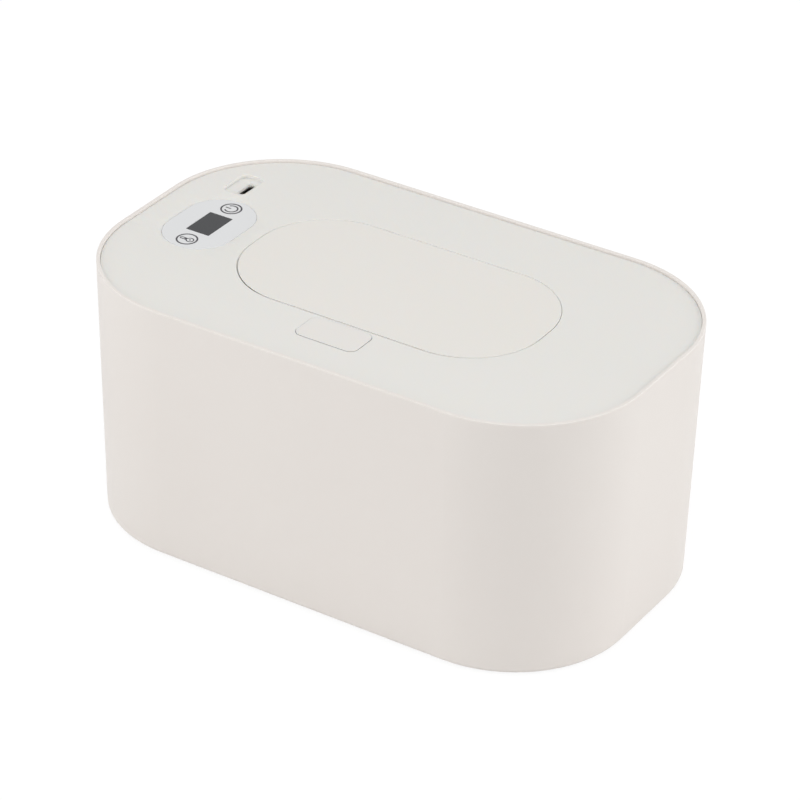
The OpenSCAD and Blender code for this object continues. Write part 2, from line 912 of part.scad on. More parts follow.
module heater_outline(r_less, hole_more, z0, z1) {
    difference() {
        round_plate(heater_x, heater_y, heater_r - r_less, z0, z1);
        round_plate(open_x, open_y, open_r + hole_more, z0 - cut, z1 + cut);
    }
}

module heater_plate() {
    color("silver")
        difference() {
            heater_outline(0, plate_collar_gap, heater_z, plate_z);
            for (p = heater_screw_places)
                post(p[0], p[1], heater_hole_r, heater_z - cut, plate_z + cut);
        }
}

module heater_film() {
    color("chocolate")
        difference() {
            heater_outline(film_in, collar_t + foam_collar_gap, plate_z, film_z);
            for (p = heater_screw_places)
                post(p[0], p[1], boss_r + boss_gap, plate_z - cut, film_z + cut);
        }
}

module heater_foam() {
    color("whitesmoke")
        difference() {
            heater_outline(foam_in, collar_t + foam_collar_gap, film_z, under_z);
            for (p = heater_screw_places)
                post(p[0], p[1], boss_r + boss_gap, film_z - cut, under_z + cut);
            for (s = [-1, 1])
                block(lead_x, s * lead_y, pocket_l, pocket_w, film_z - cut, under_z + cut);
        }
}

module heater_screws() {
    color("silver")
        for (p = heater_screw_places)
            screw(p, heater_z, small_pilot_r - thread_clear, heater_screw_l,
                small_head_r, small_head_h, small_cross_arm);
}

module thermistor() {
    color("goldenrod")
        rod(lead_x + bead_in, lead_x + bead_in + bead_l, -lead_y, film_z + bead_r, bead_r);
}

module thermal_cutoff() {
    color("dimgray")
        block(lead_x + cutoff_in + cutoff_w / 2, lead_y, cutoff_w, cutoff_l, film_z, film_z + cutoff_h);
}

module lead_plugs() {
    color("ivory")
        for (s = [-1, 1])
            block(panel_x + plug_x, s * lead_y, plug_w, plug_l, board_z, board_z + plug_h);
}

// One lead, from its plug's side and round one bend, down to its pad on the film
module lead(y) {
    z = board_z + lead_up;
    wire(concat(
        [[panel_x + plug_x + plug_w / 2, y, z]],
        [for (a = [0:22.5:90]) [lead_x - lead_bend * (1 - sin(a)), y, z - lead_bend * (1 - cos(a))]],
        [[lead_x, y, film_z + lead_seat]]
    ), lead_r, 8, [0, 1, 0]);
}

module heater_leads() {
    color("firebrick")
        for (s = [-1, 1], t = [-1, 1])
            lead(s * lead_y + t * lead_step / 2);
}

// Hinge

module hinge_pin() {
    half = arm_x + arm_w / 2 + lug_gap + lug_t + pin_over;
    color("silver")
        rod(-half, half, hinge_y, hinge_z, pin_r);
}

// The fixed leg stands on the base before its stop, the coil winds up over the pin, and the moving leg
// comes down behind the arm
module hinge_spring() {
    x0 = spring_inner + spring_wire + spring_gap;
    half_turns = 2 * spring_turns + 1;
    pitch = (spring_room - 2 * spring_wire - 2 * spring_gap) / half_turns;
    steps = 8;
    x1 = x0 + pitch * half_turns;
    color("silver")
        wire(concat(
            [[x0, hinge_y - spring_coil_r, base_z + coil_slack]],
            [for (i = [0:half_turns * steps])
                let (a = 180 - 180 * i / steps)
                [x0 + pitch * i / steps, hinge_y + spring_coil_r * cos(a), hinge_z + spring_coil_r * sin(a)]],
            [[x1, hinge_y + spring_coil_r, hinge_z - spring_coil_r],
                [x1 + leg_out, hinge_y + spring_coil_r, hinge_z - leg_down]]
        ), spring_wire, 8, [1, 0, 0]);
}

// Flap

// A plate whose edge is a short upright land over a bevel, with its upper edge rounded
module flap_section() {
    polygon([
        [0, ledge_z], [flap_r - flap_bevel, ledge_z], [flap_r, ledge_z + flap_bevel],
        [flap_r - flap_land, top_z], [0, top_z]
    ]);
    intersection() {
        translate([flap_r - flap_land, top_z - flap_land])
            circle(r = flap_land);
        translate([flap_r - flap_land, top_z - flap_land])
            square(flap_land);
    }
}

module flap_outer() {
    color("linen") {
        carried_round(flap_x, flap_y)
            flap_section();
        plate_middle(flap_x, flap_y, ledge_z, top_z);
        round_ring(flap_x, flap_y, flap_skirt_r - flap_skirt_t, flap_skirt_r, inner_z, ledge_z + join);
        for (p = stake_places)
            post(p[0], p[1], stake_r, panel_z, ledge_z + join);
    }
}

// One gooseneck arm: from the eye on the pin down, under the edge of the cover and up to the inner panel
module hinge_arm() {
    low = [-arm_reach, -arm_low];
    root = [-arm_reach - arm_lean, inner_z - inner_t / 2 - hinge_z];
    translate([0, hinge_y, hinge_z])
        across(arm_w / 2)
            difference() {
                union() {
                    circle(r = eye_r);
                    bar([0, 0], [0, -arm_low], arm_t);
                    bar([0, -arm_low], low, arm_t);
                    bar(low, root, arm_t);
                }
                circle(r = pin_r + pin_clear);
            }
}

// Under the front edge, with a slanted foot that pushes the latch's nose aside as the flap closes
module latch_hook() {
    foot_z = latch_z - hook_under;
    across(hook_half)
        polygon([
            [hook_y + hook_foot, panel_z + join], [hook_y + hook_foot + hook_t, panel_z + join],
            [hook_y + hook_foot + hook_t, foot_z - hook_foot], [hook_y + hook_foot, foot_z - hook_foot],
            [hook_y, foot_z - hook_foot + hook_slant], [hook_y, foot_z], [hook_y + hook_foot, foot_z]
        ]);
}

module flap_inner() {
    color("whitesmoke") {
        difference() {
            round_plate(flap_x, flap_y, flap_skirt_r, panel_z, inner_z);
            for (p = stake_places)
                post(p[0], p[1], stake_r + stake_clear, panel_z - cut, inner_z + cut);
        }
        for (s = [-1, 1])
            translate([s * arm_x, 0, 0])
                difference() {
                    hinge_arm();
                    block(0, hinge_y - arm_reach, arm_w + cut, arm_reach, inner_z, top_z);
                }
        latch_hook();
    }
}

module flap_gasket() {
    middle_r = open_r + collar_t / 2;
    color("silver")
        round_ring(open_x, open_y, middle_r - gasket_w / 2, middle_r + gasket_w / 2,
            panel_z - gasket_h, panel_z);
}

// Button and latch

module release_button() {
    skirt_l = button_l - 2 * button_skirt_in;
    skirt_w = button_w - 2 * button_skirt_in;
    color("linen")
        difference() {
            union() {
                soft_block(0, button_y, button_l, button_w, button_r, ledge_z, top_z - button_drop);
                difference() {
                    rounded_block(0, button_y, skirt_l, skirt_w, button_r - button_skirt_in,
                        ledge_z - button_skirt_h, ledge_z + join);
                    rounded_block(0, button_y, skirt_l - 2 * button_skirt_t, skirt_w - 2 * button_skirt_t,
                        button_r - button_skirt_in - button_skirt_t, ledge_z - button_skirt_h - cut, ledge_z);
                }
                for (s = [-1, 1])
                    block(s * (leg_x + leg_t / 2), button_y, leg_t, leg_w,
                        latch_z - leg_under, ledge_z + join);
                post(0, button_y, coil_r - coil_wire - coil_clear, ledge_z - coil_post, ledge_z + join);
            }
            // Slots that drive the latch forward as the button goes down
            translate([0, button_y, cam_z])
                across(leg_x + leg_t + cut)
                    bar([cam_over, -cam_over], [-button_travel - cam_over, button_travel + cam_over],
                        2 * (cam_pin_r + cam_clear));
        }
}

module button_spring() {
    seat_z = base_z + coil_seat;
    color("silver")
        translate([0, button_y, seat_z])
            wire(coil(coil_r, coil_wire, coil_turns, ledge_z - seat_z - coil_slack, 14),
                coil_wire, 8, [0, 0, 1]);
}

// A frame round the button's spring, with a tongue in the fork, a bevelled nose at the hook and the cam pin
module latch_slider() {
    window_r = coil_r + coil_wire + window_wall;
    nose_y = hook_y - hook_gap;
    rear_y = -(flap_y + well_r + well_t + latch_rear_gap);
    color("whitesmoke")
        difference() {
            union() {
                translate([-latch_half, button_y - latch_front, latch_z])
                    cube([2 * latch_half, rear_y - button_y + latch_front, latch_t]);
                block(0, button_y - latch_front - tongue_l / 2, 2 * tongue_half, tongue_l + join,
                    latch_z, latch_z + latch_t);
                across(nose_half)
                    polygon([
                        [button_y, latch_z], [nose_y, latch_z], [nose_y, latch_z + latch_t - nose_bevel],
                        [nose_y - nose_bevel, latch_z + latch_t], [button_y, latch_z + latch_t]
                    ]);
                rod(-leg_x - leg_t, leg_x + leg_t, button_y, cam_z, cam_pin_r);
            }
            translate([-window_r - window_side, button_y - window_r, latch_z - cut])
                cube([2 * (window_r + window_side), 2 * window_r + button_travel, latch_t + 2 * cut]);
        }
}

tub();
feet();
cover_shell();
cover_base();
cover_seal();
cover_screws();
touch_panel();
display_window();
display_module();
touch_springs();
control_board();
board_parts();
board_screws();
usb_shell();
usb_tongue();
lead_plugs();
heater_plate();
heater_film();
heater_foam();
heater_screws();
thermistor();
thermal_cutoff();
heater_leads();
hinge_pin();
hinge_spring();
flap_outer();
flap_inner();
flap_gasket();
release_button();
button_spring();
latch_slider();
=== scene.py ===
"""Baby wipe warmer: how each piece looks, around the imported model.

The scene is in metres with +Z up and the release button at -Y. The sizes of the pieces are
written in millimetres.
"""

import math

import bmesh
import bpy
import numpy as np
from mathutils import Matrix, Vector


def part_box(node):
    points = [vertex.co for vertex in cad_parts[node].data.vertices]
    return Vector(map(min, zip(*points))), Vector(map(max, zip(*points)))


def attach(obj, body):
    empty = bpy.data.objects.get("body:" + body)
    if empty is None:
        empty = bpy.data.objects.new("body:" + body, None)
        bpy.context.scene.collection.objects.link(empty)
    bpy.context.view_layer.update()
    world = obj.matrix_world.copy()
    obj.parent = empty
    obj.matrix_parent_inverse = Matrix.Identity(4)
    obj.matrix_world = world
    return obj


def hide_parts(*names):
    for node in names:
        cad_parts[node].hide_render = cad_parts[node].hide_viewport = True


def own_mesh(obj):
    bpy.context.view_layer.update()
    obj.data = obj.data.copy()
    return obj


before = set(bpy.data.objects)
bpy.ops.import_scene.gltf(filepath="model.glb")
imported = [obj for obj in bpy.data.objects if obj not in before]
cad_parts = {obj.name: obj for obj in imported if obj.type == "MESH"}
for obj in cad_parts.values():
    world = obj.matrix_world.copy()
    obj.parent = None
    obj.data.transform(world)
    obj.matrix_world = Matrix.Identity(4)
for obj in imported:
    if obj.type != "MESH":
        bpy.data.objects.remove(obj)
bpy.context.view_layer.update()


# Camera at the photograph's angle: a long lens that looks down on the front and the right end,
# from 1.3 m away.
def outward(azimuth, elevation):
    """Unit vector away from the object, by its angles in radians: from -Y towards +X, and up."""
    return Vector((
        math.sin(azimuth) * math.cos(elevation),
        -math.cos(azimuth) * math.cos(elevation),
        math.sin(elevation),
    ))


view_azimuth, view_elevation, roll = (math.radians(a) for a in (31.973, 31.034, 1.324))
view_distance = 1.31368
target = Vector((0.00193, 0.0, 0.05436))
lens_mm, sensor_mm = 169.63, 36

back = outward(view_azimuth, view_elevation)
level = Vector((math.cos(view_azimuth), math.sin(view_azimuth), 0))
upright = back.cross(level)
right = level * math.cos(roll) + upright * math.sin(roll)
up = upright * math.cos(roll) - level * math.sin(roll)
camera = bpy.data.objects.new("photo_camera", bpy.data.cameras.new("photo_camera"))
camera.data.lens = lens_mm
camera.data.sensor_width = sensor_mm
turn = Matrix((right, up, back)).transposed().to_4x4()
camera.matrix_world = Matrix.Translation(target + back * view_distance) @ turn
bpy.context.collection.objects.link(camera)
bpy.context.scene.camera = camera
bpy.context.scene.view_settings.view_transform = "Standard"


# Light: three soft boxes, one over the front left, one at the right end and one overhead, so that
# the front right corner falls between two of them and darkens a little, as in the photograph.
middle = Vector((0, 0, 0.05))


def soft_box(name, azimuth, elevation, distance, size, power):
    """A square lamp that faces the object's middle, with its angles in degrees."""
    away = outward(math.radians(azimuth), math.radians(elevation))
    data = bpy.data.lights.new(name, "AREA")
    data.size = size
    data.energy = power
    lamp = bpy.data.objects.new(name, data)
    turn = away.to_track_quat("Z", "Y").to_matrix().to_4x4()
    lamp.matrix_world = Matrix.Translation(away * distance + middle) @ turn
    bpy.context.collection.objects.link(lamp)


soft_box("front_left_box", azimuth=-32, elevation=24, distance=1.2, size=0.825, power=4.8)
soft_box("right_box", azimuth=108, elevation=24, distance=1.6, size=1.0, power=10.0)
soft_box("top_box", azimuth=10, elevation=78, distance=1.6, size=1.3, power=5.9)


# Tub: one injection-moulded shell of warm white polypropylene with a fine spark-eroded grain. It
# leans in 2 mm to its base, and its ledge carries the cover inside a rim 1.35 mm wide.
def linear(red, green, blue):
    """Scene-linear colour of a display colour given from 0 to 255, by the sRGB curve."""
    share = np.array((red, green, blue)) / 255
    curve = np.where(share > 0.04045, ((share + 0.055) / 1.055) ** 2.4, share / 12.92)
    return (*curve.tolist(), 1.0)


class Value:
    """A shader socket that takes part in arithmetic: each operator adds a Math node."""

    def __init__(self, nodes, socket):
        self.nodes = nodes
        self.socket = socket

    def math(self, operation, *values):
        return self.nodes.node("ShaderNodeMath", {"operation": operation}, *values)

    def __add__(self, other):
        return self.math("ADD", self, other)

    def __sub__(self, other):
        return self.math("SUBTRACT", self, other)

    def __rsub__(self, other):
        return self.math("SUBTRACT", other, self)

    def __mul__(self, other):
        return self.math("MULTIPLY", self, other)

    __radd__ = __add__
    __rmul__ = __mul__

    def between(self, low, high):
        """0 below low, 1 above high, a smooth step between."""
        smooth = {"interpolation_type": "SMOOTHSTEP"}
        return self.nodes.node("ShaderNodeMapRange", smooth, self, low, high, 0.0, 1.0)


class Nodes:
    """A node tree whose sockets take a plain value or the output of another node."""

    def __init__(self, tree):
        self.tree = tree

    def put(self, socket, value):
        if isinstance(value, Value):
            self.tree.links.new(value.socket, socket)
        else:
            socket.default_value = value

    def node(self, kind, settings, *values, out=0, **named):
        """A new node: its settings, then its sockets in order or by name. Gives one output."""
        made = self.tree.nodes.new(kind)
        for key, value in settings.items():
            setattr(made, key, value)
        for key, value in enumerate(values):
            self.put(made.inputs[key], value)
        for key, value in named.items():
            self.put(made.inputs[key.replace("_", " ")], value)
        return Value(self, made.outputs[out])

    def rays(self, *kinds):
        """1 for a ray of one of these kinds, otherwise 0."""
        tests = (self.node("ShaderNodeLightPath", {}, out=f"Is {kind} Ray") for kind in kinds)
        return sum(tests).between(0, 1)


class Finish(Nodes):
    """One material: even values go on the shader's sockets, and what varies comes from nodes."""

    def __init__(self, name, colour, roughness, **even):
        self.material = bpy.data.materials.new(name)
        self.material.use_nodes = True
        super().__init__(self.material.node_tree)
        self.shader = self.tree.nodes["Principled BSDF"]
        self.colour = linear(*colour)
        self.feed("Base Color", self.colour)
        self.feed("Roughness", roughness)
        for socket, value in even.items():
            self.feed(socket.replace("_", " "), value)

    def feed(self, socket, value):
        self.put(self.shader.inputs[socket], value)
        return self

    def place(self, stretch=(1, 1, 1)):
        """Object coordinates in millimetres, each axis times its stretch."""
        at = self.node("ShaderNodeTexCoord", {}, out="Object")
        scale = [1000 * s for s in stretch]
        return self.node("ShaderNodeVectorMath", {"operation": "MULTIPLY"}, at, scale)

    def noise(self, waves, detail=2.0, stretch=(1, 1, 1)):
        """Smooth noise from 0 to 1, with so many waves to a millimetre."""
        return self.node(
            "ShaderNodeTexNoise", {},
            Vector=self.place(stretch), Scale=waves, Detail=detail, Roughness=0.55,
        )

    def tint(self, share, other):
        """Base colour from the finish's own, where share is 0, to the other one, where it is 1."""
        return self.feed("Base Color", self.mixed(share, self.colour, linear(*other)))

    def mixed(self, share, first, second):
        made = self.node("ShaderNodeMix", {"data_type": "RGBA"}, out=2)
        for socket, value in zip((0, 6, 7), (share, first, second)):
            self.put(made.socket.node.inputs[socket], value)
        return made

    def relief(self, height, depth):
        """A bump of the given depth in millimetres."""
        bump = self.node("ShaderNodeBump", {}, Height=height, Distance=depth / 1000, Strength=1.0)
        return self.feed("Normal", bump)


def moulded(name, colour, other, roughness, grain=0.005, glow=0.3, reach=(1.0, 0.75, 0.55)):
    """Moulded plastic: a fine spark-eroded grain, and a faint drift of tone and gloss over it.
    Light reaches a millimetre or so into it, by default red the furthest, which softens and warms
    its seams."""
    finish = Finish(
        name, colour, roughness, Specular_IOR_Level=0.4,
        Subsurface_Weight=glow, Subsurface_Radius=reach, Subsurface_Scale=0.0014,
    )
    drift = finish.noise(0.014, 1)
    fine = finish.noise(2.6, 3)
    finish.tint(drift, other)
    finish.feed("Roughness", roughness + (drift - 0.5) * 0.08 + (fine - 0.5) * 0.08)
    return finish.relief(fine, grain)


def dress(finish, *nodes):
    """Gives CAD nodes their material."""
    for node in nodes:
        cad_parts[node].data.materials.clear()
        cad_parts[node].data.materials.append(finish.material)


dress(
    moulded("tub_plastic", (232, 227, 222), (230, 224, 219), 0.56, reach=(0.8, 0.8, 0.8)),
    "tub",
)


# Feet: four die-cut rubber pads, pressed into shallow round seats under the tub. They stand
# 0.8 mm proud and have a soft lower edge.
def rounded(corners, radii, steps=6):
    """A line through the corners, each turned into an arc of its radius that touches both its
    sides: the arc's centre lies on the bisector at radius / sin(half angle) from the corner."""
    corners = np.asarray(corners, float)
    line = []
    for k, radius in enumerate(radii):
        if not radius:
            line.append(corners[k : k + 1])
            continue
        ahead, behind = (corners[(k + s) % len(corners)] - corners[k] for s in (1, -1))
        ahead, behind = ahead / np.linalg.norm(ahead), behind / np.linalg.norm(behind)
        half = np.arccos(np.clip(ahead @ behind, -1, 1)) / 2
        bisector = (ahead + behind) / np.linalg.norm(ahead + behind)
        centre = corners[k] + bisector * radius / np.sin(half)
        start = corners[k] + behind * radius / np.tan(half) - centre
        sweep = np.linspace(0, np.pi - 2 * half, steps + 1)[:, None]
        line.append(centre + np.cos(sweep) * start - np.sin(sweep) * behind * radius)
    return np.concatenate(line)


def revolved(profile, x, y, sides=64):
    """A profile of (radius, height) turned about the upright axis through x, y."""
    angle = np.linspace(0, 2 * np.pi, sides, endpoint=False)[:, None]
    radius, height = profile.T
    ring = np.broadcast_arrays(x + radius * np.cos(angle), y + radius * np.sin(angle), height)
    return np.stack(ring, axis=-1)


def quads(rows, columns, wrap_rows, wrap_columns):
    """Faces of a grid of points numbered row by row; a wrapped side closes on its first one."""
    i = np.arange(rows - (not wrap_rows))[:, None]
    j = np.arange(columns - (not wrap_columns))[None, :]
    k, l = (i + 1) % rows, (j + 1) % columns
    corners = [i * columns + j, k * columns + j, k * columns + l, i * columns + l]
    return np.stack(np.broadcast_arrays(*corners), axis=-1).reshape(-1, 4)


same_point, tiny = 1e-7, 1e-6


def finished(mesh, body, finish):
    """The object of a mesh, smooth across edges of up to 38 degrees, with its material and
    body."""
    mesh.shade_smooth()
    mesh.set_sharp_from_angle(angle=math.radians(38))
    mesh.materials.append(finish.material)
    made = bpy.data.objects.new(mesh.name, mesh)
    bpy.context.collection.objects.link(made)
    weigh = made.modifiers.new("even_shading", "WEIGHTED_NORMAL")
    weigh.keep_sharp = True
    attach(made, body)
    return made


def piece(name, body, finish, grids, wrap=(True, False), planes=(), replaces=()):
    """A closed piece from grids of points in millimetres: rings that lie in one of the planes
    (heights) are filled together, so that a hole stays open, and other open ends get a cap each."""
    mesh = bpy.data.meshes.new(name)
    vertices, faces, count = [], [], 0
    for grid in grids:
        rows, columns = grid.shape[:2]
        faces.append(quads(rows, columns, *wrap) + count)
        vertices.append(grid.reshape(-1, 3) / 1000)
        count += rows * columns
    mesh.from_pydata(np.concatenate(vertices), [], np.concatenate(faces).tolist())
    shape = bmesh.new()
    shape.from_mesh(mesh)
    bmesh.ops.remove_doubles(shape, verts=shape.verts, dist=same_point)
    for height in planes:
        loops = [
            e for e in shape.edges
            if e.is_boundary and all(abs(v.co.z - height / 1000) < tiny for v in e.verts)
        ]
        bmesh.ops.triangle_fill(shape, edges=loops, use_beauty=True)
    bmesh.ops.holes_fill(shape, edges=[e for e in shape.edges if e.is_boundary], sides=0)
    bmesh.ops.recalc_face_normals(shape, faces=shape.faces)
    shape.to_mesh(mesh)
    shape.free()
    made = finished(mesh, body, finish)
    if replaces:
        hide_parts(*replaces)
    return made


def box_mm(node):
    """Lowest and highest corner of a CAD node, in millimetres."""
    return (np.array(corner) * 1000 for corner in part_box(node))


def soft(name, colour, roughness, waves, depth):
    """Rubber, silicone or foam: matt, with an uneven skin."""
    finish = Finish(name, colour, roughness, Specular_IOR_Level=0.3)
    skin = finish.noise(waves, 4)
    finish.tint(skin, [c - 8 for c in colour])
    finish.feed("Roughness", roughness + (skin - 0.5) * 0.1)
    return finish.relief(skin, depth)


low, high = box_mm("feet")
foot_r, foot_round = 6, 0.45
foot_profile = rounded(
    [(0, 0), (foot_r, 0), (foot_r, high[2]), (0, high[2])], (0, foot_round, 0.1, 0)
)
piece(
    "rubber_feet", "tub", soft("foot_rubber", (214, 212, 208), 0.75, 1.8, 0.02),
    [
        revolved(foot_profile[1:-1], x, y)
        for x in (low[0] + foot_r, high[0] - foot_r) for y in (low[1] + foot_r, high[1] - foot_r)
    ],
    replaces=("feet",),
)

# Cover: two moulded halves, screwed together from below round everything that is electric. The
# upper one is the plate with the openings, which lies close in the tub's rim. The lower one carries
# the heater, the hinge and the latch.
def copied(name, node, body, finish, top=None, move=None):
    """A merged copy of a CAD node in its place: cut off level at a height and closed there, or with
    its points moved by a function of their places in millimetres."""
    shape = bmesh.new()
    shape.from_mesh(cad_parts[node].data)
    bmesh.ops.remove_doubles(shape, verts=shape.verts, dist=same_point)
    if top:
        whole = [*shape.verts, *shape.edges, *shape.faces]
        cut = bmesh.ops.bisect_plane(
            shape, geom=whole, plane_co=(0, 0, top / 1000), plane_no=(0, 0, 1), clear_outer=True
        )
        edges = [e for e in cut["geom_cut"] if isinstance(e, bmesh.types.BMEdge)]
        bmesh.ops.triangle_fill(shape, edges=edges, use_beauty=True)
        bmesh.ops.recalc_face_normals(shape, faces=shape.faces)
    mesh = bpy.data.meshes.new(name)
    shape.to_mesh(mesh)
    shape.free()
    if move:
        points = np.empty(len(mesh.vertices) * 3, np.float32)
        mesh.vertices.foreach_get("co", points)
        mesh.vertices.foreach_set("co", (move(points.reshape(-1, 3) * 1000.0) / 1000).ravel())
        mesh.update()
    made = finished(mesh, body, finish)
    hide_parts(node)
    dress(finish, node)


cover_plastic = moulded("cover_plastic", (230, 228, 224), (228, 227, 222), 0.58)
_, high = box_mm("cover_shell")
cover_top, plate_t, plate_round, edge_out = high[2], 2.2, 0.15, 0.2
corner_r = 46.7
corner_at = next(box_mm("tub"))[:2] + corner_r
plate_r = high[0] + corner_at[0]


def wider(points):
    """Moves the plate's outer edge out, along the line from the nearest point c of the rectangle
    between the corner centres: p becomes p + edge_out (p - c) / |p - c|."""
    plan = points[:, :2]
    away = plan - np.clip(plan, corner_at, -corner_at)
    r = np.linalg.norm(away, axis=1, keepdims=True)
    edge = (r > plate_r - plate_round - 0.01) & (points[:, 2:] > cover_top - plate_t - 0.01)
    points[:, :2] += np.where(edge, edge_out * away / np.maximum(r, tiny), 0)
    return points


copied("cover_plate", "cover_shell", "cover", cover_plastic, move=wider)
dress(cover_plastic, "cover_base")
dress(soft("cover_silicone", (222, 221, 218), 0.5, 0.9, 0.01), "cover_seal")


def metal(name, colour, roughness, waves, stretch=(1, 1, 1), depth=0.003):
    """Bare or plated metal: lines or mottle from noise stretched along the way it was worked."""
    finish = Finish(name, colour, roughness, Metallic=1.0)
    line = finish.noise(waves, 3, stretch)
    finish.tint(line, [c * 0.9 for c in colour])
    finish.feed("Roughness", roughness + (line - 0.5) * 0.2)
    return finish.relief(line, depth)


# Screws: zinc-plated cross-head screws that cut their own thread in the bosses. Eight close the
# cover, four hold the board and four the heater.
zinc = metal("zinc_plate", (202, 203, 206), 0.34, 0.8)
dress(zinc, "cover_screws", "board_screws", "heater_screws")


# Touch panel: an oval of cool white gloss acrylic, set in a seat of the cover and standing 0.1 mm
# proud, with a square-cut opening for the display.
def carried(profile, half_x, half_y, x=0, y=0, steps=20):
    """A profile of (r, z) carried round a rounded rectangle: at angle a each point lies at
    r (cos a, sin a) from the corner centre (+-half_x, +-half_y) of that quarter."""
    quarters = np.concatenate([np.linspace(q, q + 1, steps + 1) for q in range(4)])
    angle = quarters[:, None] * np.pi / 2
    centre_x = x + half_x * np.repeat((1, -1, -1, 1), steps + 1)[:, None]
    centre_y = y + half_y * np.repeat((1, 1, -1, -1), steps + 1)[:, None]
    r, z = profile.T
    return np.stack(
        np.broadcast_arrays(centre_x + r * np.cos(angle), centre_y + r * np.sin(angle), z), axis=-1
    )


low, high = box_mm("touch_panel")
panel_x, panel_r = (low[0] + high[0]) / 2, (high[0] - low[0]) / 2
panel_end = (high[1] - low[1]) / 2 - panel_r
panel_low, panel_top, panel_round = low[2], high[2], 0.22
window_w, window_l, corner = 9.7, 15.0, 0.25
panel_edge = rounded(
    [(0, panel_low), (panel_r, panel_low), (panel_r, panel_top), (0, panel_top)],
    (0, 0.1, panel_round, 0),
)[1:-1]
opening = rounded(
    [(panel_r, panel_low), (corner, panel_low), (corner, panel_top), (panel_r, panel_top)],
    (0, 0.05, 0.05, 0),
)[1:-1]
acrylic = Finish("panel_acrylic", (223, 224, 225), 0.16, Specular_IOR_Level=0.5, Coat_Weight=0.3)
wave = acrylic.noise(0.05, 1)
acrylic.tint(wave, (220, 221, 222))
acrylic.feed("Roughness", 0.14 + wave * 0.05)
acrylic.relief(acrylic.noise(0.35, 2), 0.004)
piece(
    "touch_panel_lens", "cover", acrylic,
    [
        carried(panel_edge, 0, panel_end, panel_x),
        carried(opening, window_w / 2 - corner, window_l / 2 - corner, panel_x, steps=5),
    ],
    planes=(panel_low, panel_top), replaces=("touch_panel",),
)

# Display window: smoked acrylic, pushed into the opening from behind by its flange. The display
# behind it is dark when it is off.
low, high = box_mm("display_window")
window_gap, window_round = 0.05, 0.08
half_w, half_l = (side / 2 - window_gap - corner for side in (window_w, window_l))
flange = (high[0] - low[0] - window_w) / 2 + window_gap + corner
window_profile = rounded(
    [
        (0, low[2]), (flange, low[2]), (flange, panel_low), (corner, panel_low),
        (corner, high[2]), (0, high[2]),
    ],
    (0, window_round, window_round, 0, window_round, 0),
)[1:-1]
smoked = Finish("smoked_acrylic", (31, 33, 37), 0.2, Specular_IOR_Level=0.4)
haze = smoked.noise(0.3, 2)
smoked.tint(haze, (26, 28, 33))
smoked.feed("Roughness", 0.18 + haze * 0.08)
piece(
    "smoked_window", "cover", smoked,
    [carried(window_profile, half_w, half_l, panel_x, steps=5)],
    planes=(low[2], high[2]), replaces=("display_window",),
)


# Key marks: screen-printed on the panel over the two touch keys, a power sign and a thermometer,
# each in a ring. The ink stands a few hundredths of a millimetre high.
ink_low, ink_top = panel_top - 0.02, panel_top + 0.03


def ribbon(path, width, closed=False):
    """A flat band of ink: each point of the path becomes four corners, half the width to each side
    along the path's normal, at the bottom and the top of the ink."""
    path = np.asarray(path, float)
    if closed:
        along = np.roll(path, -1, axis=0) - np.roll(path, 1, axis=0)
    else:
        along = np.gradient(path, axis=0)
    along /= np.linalg.norm(along, axis=1, keepdims=True)
    side = np.stack((-along[:, 1], along[:, 0]), axis=-1) * width / 2
    flat = np.stack((path - side, path + side, path + side, path - side), axis=1)
    height = np.array((ink_low, ink_low, ink_top, ink_top))[None, :, None]
    return np.concatenate((flat, np.broadcast_to(height, (len(path), 4, 1))), axis=-1)


def arc(x, y, radius, start, end, steps=48):
    """Points on a circle from the start to the end angle in degrees."""
    angle = np.radians(np.linspace(start, end, steps + 1))
    return np.stack((x + radius * np.cos(angle), y + radius * np.sin(angle)), axis=-1)


def key_mark(name, bands, closed_bands):
    """Two pieces of ink: the sign's open bands, and its closed bands with the ring."""
    grids = [ribbon(path, width) for path, width in bands]
    piece(name, "cover", ink, grids, wrap=(False, True))
    rings = [ribbon(path[:-1], width, True) for path, width in closed_bands]
    piece(name + "_ring", "cover", ink, rings, wrap=(True, True))


ink = Finish("key_ink", (52, 50, 56), 0.5)
ink.tint(ink.noise(3.0, 2), (64, 62, 68))
ring_r, ring_w = 3.66, 0.62

power_y, power_r, bar_y = 13.5, 2.3, 13.6
key_mark(
    "power_mark",
    [
        (arc(panel_x, power_y, power_r, 222, 498), 0.56),
        ([(panel_x - 2.4, bar_y), (panel_x - 0.2, bar_y)], 0.5),
    ],
    [(arc(panel_x, power_y, ring_r, 0, 360), ring_w)],
)

warmth_y, bulb_r, stem_r = -13.6, 1.3, 0.5
bulb_x, stem_x = panel_x + 1.3, panel_x - 2.2
lean = math.degrees(math.asin(stem_r / bulb_r))
outline = np.concatenate((
    arc(bulb_x, warmth_y, bulb_r, -180 + lean, 180 - lean, 28),
    arc(stem_x, warmth_y, stem_r, 90, 270, 12),
    [(bulb_x - bulb_r * math.cos(math.radians(lean)), warmth_y - stem_r)],
))
key_mark(
    "warmth_mark",
    [
        ([(stem_x + 1.2, warmth_y), (bulb_x - bulb_r, warmth_y)], 0.6),
        (arc(bulb_x, warmth_y, 0.2, 0, 340, 12), 0.38),
    ],
    [(arc(panel_x, warmth_y, ring_r, 0, 360), ring_w), (outline, 0.42)],
)


